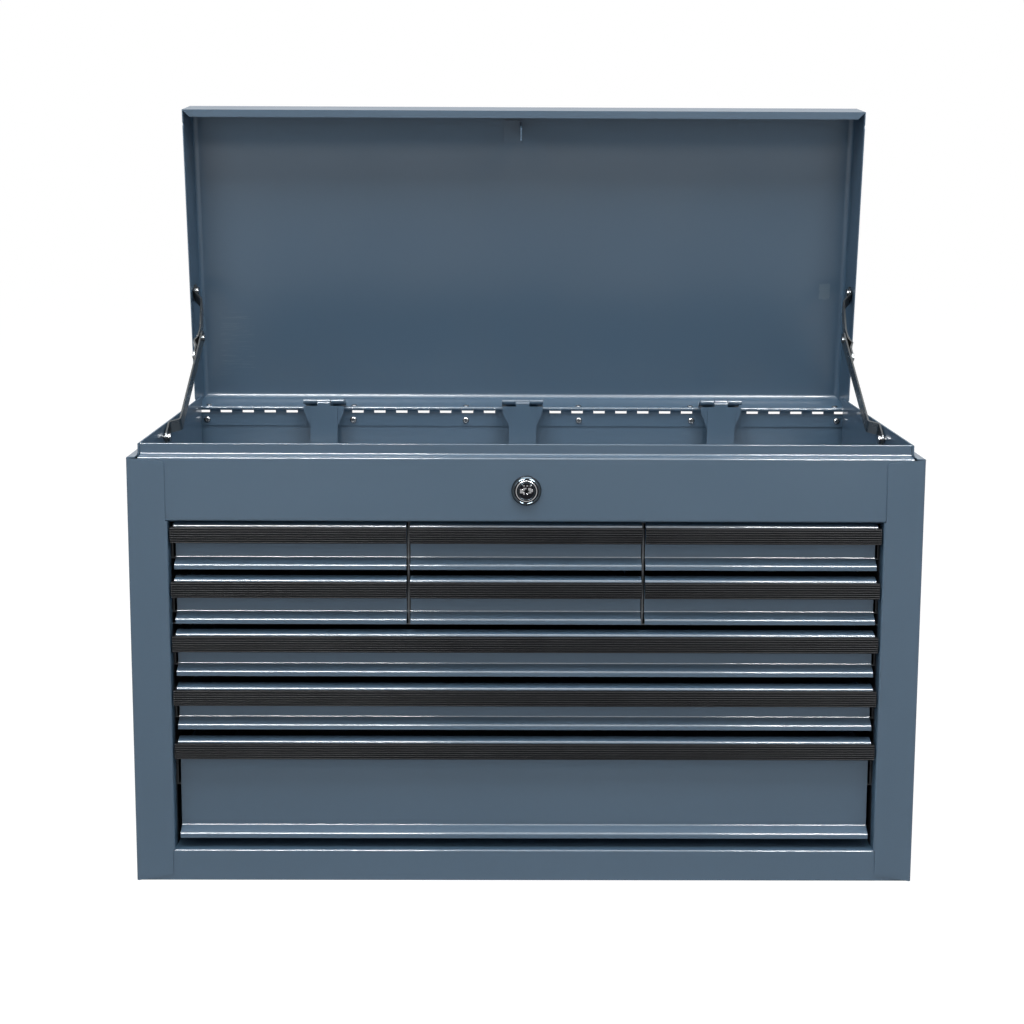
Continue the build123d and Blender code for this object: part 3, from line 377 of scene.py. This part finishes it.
def ribbed_plastic():
    """Satin black of the pull trims, a little dusty in clouds."""
    finish, tree, shader, place = start_finish("trim_black")
    marks = use_group(tree, MARKS, place, {"Scale": 30.0})
    feed(tree, shader["Base Color"], blend_colour(tree, marks["Clouds"], TRIM_BLACK, TRIM_DUSTY))
    feed(tree, shader["Roughness"], range_node(tree, marks["Clouds"], 0, 1, 0.33, 0.37))
    feed(tree, shader["Specular IOR Level"], 0.07)
    return finish


def plated_steel(name, colour, low_rough, high_rough):
    """Plated steel with faint drawn lines and cloudy gloss."""
    finish, tree, shader, place = start_finish(name)
    grain = use_group(tree, GRAIN, place, {"Scale": 700.0})
    marks = use_group(tree, MARKS, place, {"Scale": 60.0})
    dull = tuple(DULL_SHARE * c for c in colour[:3]) + (1,)
    feed(tree, shader["Base Color"], blend_colour(tree, marks["Tone"], dull, colour))
    feed(tree, shader["Roughness"], range_node(tree, marks["Clouds"], 0, 1, low_rough, high_rough))
    feed(tree, shader["Metallic"], 1.0)
    feed(tree, shader["Normal"], bump_from(tree, grain["Grain"], GRAIN_BUMP))
    return finish


BODY = powder_coat("body_powder_coat", 0.5, 0.07)
LID = powder_coat("lid_powder_coat", 0.4, 0.2, [LEFT_SMEAR, RIGHT_RUB])
TRIM = ribbed_plastic()
ZINC = plated_steel("zinc_plate", PLATE, 0.16, 0.26)
# the stays' steel, with a painted dark reflection in its colour
STAY_FINISH_PAINTED_SHADE = plated_steel("stay_steel_painted_shade", STAY_COLOUR_PAINTED_SHADE, 0.24, 0.36)
# the lock's chrome, with a painted dark reflection in its colour
LOCK_CHROME_FINISH_PAINTED_SHADE = plated_steel("lock_chrome_painted_shade", LOCK_CHROME_PAINTED_SHADE, 0.05, 0.1)
BRIGHT = plated_steel("bright_chrome", BRIGHT_CHROME, 0.07, 0.13)
BLACK = plated_steel("lock_black", LOCK_BLACK, 0.3, 0.45)
WARDS = plated_steel("lock_steel", LOCK_STEEL, 0.12, 0.2)
SLIDES = plated_steel("slide_steel", SLIDE_STEEL, 0.35, 0.5)


def coat(finish, *names):
    for name in names:
        NODES[name].data.materials.clear()
        NODES[name].data.materials.append(finish)


coat(BODY, "side_panel_left", "side_panel_right", "back_panel", "base_panel", "front_header", "front_sill")
coat(BODY, "till_floor", "lock_bars", "lock_bar_straps", "lock_bar_guides", "hinge_leaf_cabinet")
coat(BODY, "hinge_leaf_lid", "lid_striker", *[f"{name}_box" for name in DRAWERS])
coat(LID, "lid_shell")
coat(TRIM, *[f"{name}_trim" for name in DRAWERS])
coat(SLIDES, "side_liners", "drawer_partitions", "partition_shelf", "slide_channels")
coat(SLIDES, *[f"{name}_runners" for name in DRAWERS])
coat(ZINC, "hinge_pin", "cabinet_rivets", "lid_rivets", "stay_pivots", "lock_nut", "lock_cam")
coat(STAY_FINISH_PAINTED_SHADE, "stay_lower_left", "stay_lower_right", "stay_upper_left", "stay_upper_right")
coat(BRIGHT, "handle_left", "handle_right", "handle_plates")
coat(LOCK_CHROME_FINISH_PAINTED_SHADE, "lock_housing", "lock_plug")


# ---- the lock's face, turned and cut finer than the solids
def turned(name, steps):
    """A piece turned about the lock's axis. Steps are (radius, y) in mm, from rear cap to front cap."""
    x, z = LOCK
    radius, y = steps[0]
    bpy.ops.object.select_all(action="DESELECT")
    bpy.ops.mesh.primitive_circle_add(
        vertices=LOCK_SIDES,
        radius=radius / 1000,
        fill_type="NGON",
        location=(x, y / 1000, z),
        rotation=(pi / 2, 0, 0),
    )
    piece = bpy.context.object
    piece.name = name
    bpy.ops.object.transform_apply(location=True, rotation=True, scale=True)
    bpy.ops.object.mode_set(mode="EDIT")
    bpy.ops.mesh.select_mode(type="FACE")
    bpy.ops.mesh.select_all(action="SELECT")
    for (r0, y0), (r1, y1) in zip(steps, steps[1:]):
        bpy.ops.mesh.extrude_region_move(TRANSFORM_OT_translate={"value": (0, (y1 - y0) / 1000, 0)})
        bpy.ops.transform.resize(value=(r1 / r0, 1, r1 / r0), center_override=(x, y1 / 1000, z))
    bpy.ops.mesh.select_all(action="SELECT")
    bpy.ops.mesh.normals_make_consistent(inside=False)
    bpy.ops.object.mode_set(mode="OBJECT")
    bpy.ops.object.shade_smooth_by_angle(angle=SMOOTH_ANGLE)
    return piece


def finish_by_radius(piece, bands):
    """Give each face the finish of the first band (least radius in mm, finish) that it reaches."""
    for _, finish in bands:
        piece.data.materials.append(finish)
    x, z = LOCK
    for face in piece.data.polygons:
        corners = [piece.data.vertices[v].co for v in face.vertices]
        radius = 1000 * max(Vector((corner.x - x, corner.z - z)).length for corner in corners)
        for index, (least, _) in enumerate(bands):
            if radius >= least:
                face.material_index = index
                break


def lock_bezel():
    shank = [(9.5, -131), (9.5, -149), (12.5, -149), (12.5, -150.4)]
    shoulder = [(12.35, -151.1), (11.9, -151.8), (11.2, -152.4), (10.5, -152.9), (10.25, -153.0)]
    groove = [(10.05, -152.9), (9.95, -151.7), (9.15, -151.7), (9.05, -152.6)]
    ring = [(8.85, -152.85), (8.5, -152.95), (8.1, -152.85), (7.85, -152.5)]
    well = [(7.7, -151.2), (7.65, -140), (1, -140)]
    bezel = turned("lock_bezel", shank + shoulder + groove + ring + well)
    finish_by_radius(bezel, [(10.1, LOCK_CHROME_FINISH_PAINTED_SHADE), (9.1, BLACK), (7.8, WARDS), (0, BLACK)])
    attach(bezel, "cabinet")
    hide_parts("lock_housing")


def keyway_cells(name, rows, y0, y1):
    """A plate of small cells, kept where the rows say, drawn out from y0 to y1 (mm)."""
    x, z = LOCK
    wide, tall = KEY_CELL
    across, high = len(rows[0]), len(rows)
    bpy.ops.object.select_all(action="DESELECT")
    bpy.ops.mesh.primitive_grid_add(
        x_subdivisions=across,
        y_subdivisions=high,
        size=1,
        location=(x, y0 / 1000, z),
        rotation=(pi / 2, 0, 0),
    )
    plate = bpy.context.object
    plate.name = name
    plate.scale = (across * wide, high * tall, 1)
    bpy.ops.object.transform_apply(location=True, rotation=True, scale=True)
    bpy.ops.object.mode_set(mode="EDIT")
    bpy.ops.mesh.select_mode(type="FACE")
    bpy.ops.mesh.select_all(action="DESELECT")
    bpy.ops.object.mode_set(mode="OBJECT")
    for face in plate.data.polygons:
        column = int((face.center.x - x) / wide + across / 2)
        row = int((z - face.center.z) / tall + high / 2)
        face.select = rows[row][column] == "."
    bpy.ops.object.mode_set(mode="EDIT")
    bpy.ops.mesh.delete(type="FACE")
    bpy.ops.mesh.select_all(action="SELECT")
    bpy.ops.mesh.extrude_region_move(TRANSFORM_OT_translate={"value": (0, (y1 - y0) / 1000, 0)})
    bpy.ops.mesh.select_all(action="SELECT")
    bpy.ops.mesh.normals_make_consistent(inside=False)
    bpy.ops.object.mode_set(mode="OBJECT")
    return plate


def round_edges(piece, width):
    bpy.context.view_layer.objects.active = piece
    bevel = piece.modifiers.new("rounded", "BEVEL")
    bevel.width = width
    bevel.segments = 2
    bevel.limit_method = "ANGLE"
    bevel.angle_limit = CORNER_ANGLE
    bpy.ops.object.modifier_apply(modifier=bevel.name)
    bpy.ops.object.shade_smooth_by_angle(angle=SMOOTH_ANGLE)


def cut_away(piece, cutter):
    bpy.context.view_layer.objects.active = piece
    cut = piece.modifiers.new("cut", "BOOLEAN")
    cut.object = cutter
    cut.operation = "DIFFERENCE"
    cut.solver = "EXACT"
    bpy.ops.object.modifier_apply(modifier=cut.name)
    bpy.data.objects.remove(cutter)


def lock_plug():
    tail = [(3.75, -126.5), (3.75, -130.7)]
    barrel = [(7.5, -130.7), (7.5, -151.9)]
    rim = [(7.35, -152.2), (7.0, -152.4), (6.6, -152.3), (6.3, -151.9)]
    face = [(1, -151.9)]
    plug = turned("lock_plug_face", tail + barrel + rim + face)
    cut_away(plug, keyway_cells("keyway_cutter", KEY_SLOT, -154, -147))
    finish_by_radius(plug, [(6.7, LOCK_CHROME_FINISH_PAINTED_SHADE), (0, BLACK)])
    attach(plug, "lock_barrel")
    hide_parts("lock_plug")


def keyway_wards():
    wards = keyway_cells("keyway_wards", KEY_WARDS, -151.7, -152.6)
    round_edges(wards, WARD_ROUNDING)
    wards.data.materials.append(WARDS)
    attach(wards, "lock_barrel")


lock_bezel()
lock_plug()
keyway_wards()

set_camera()
set_world()
set_floor()
set_lights()
bpy.context.scene.view_settings.view_transform = "Standard"
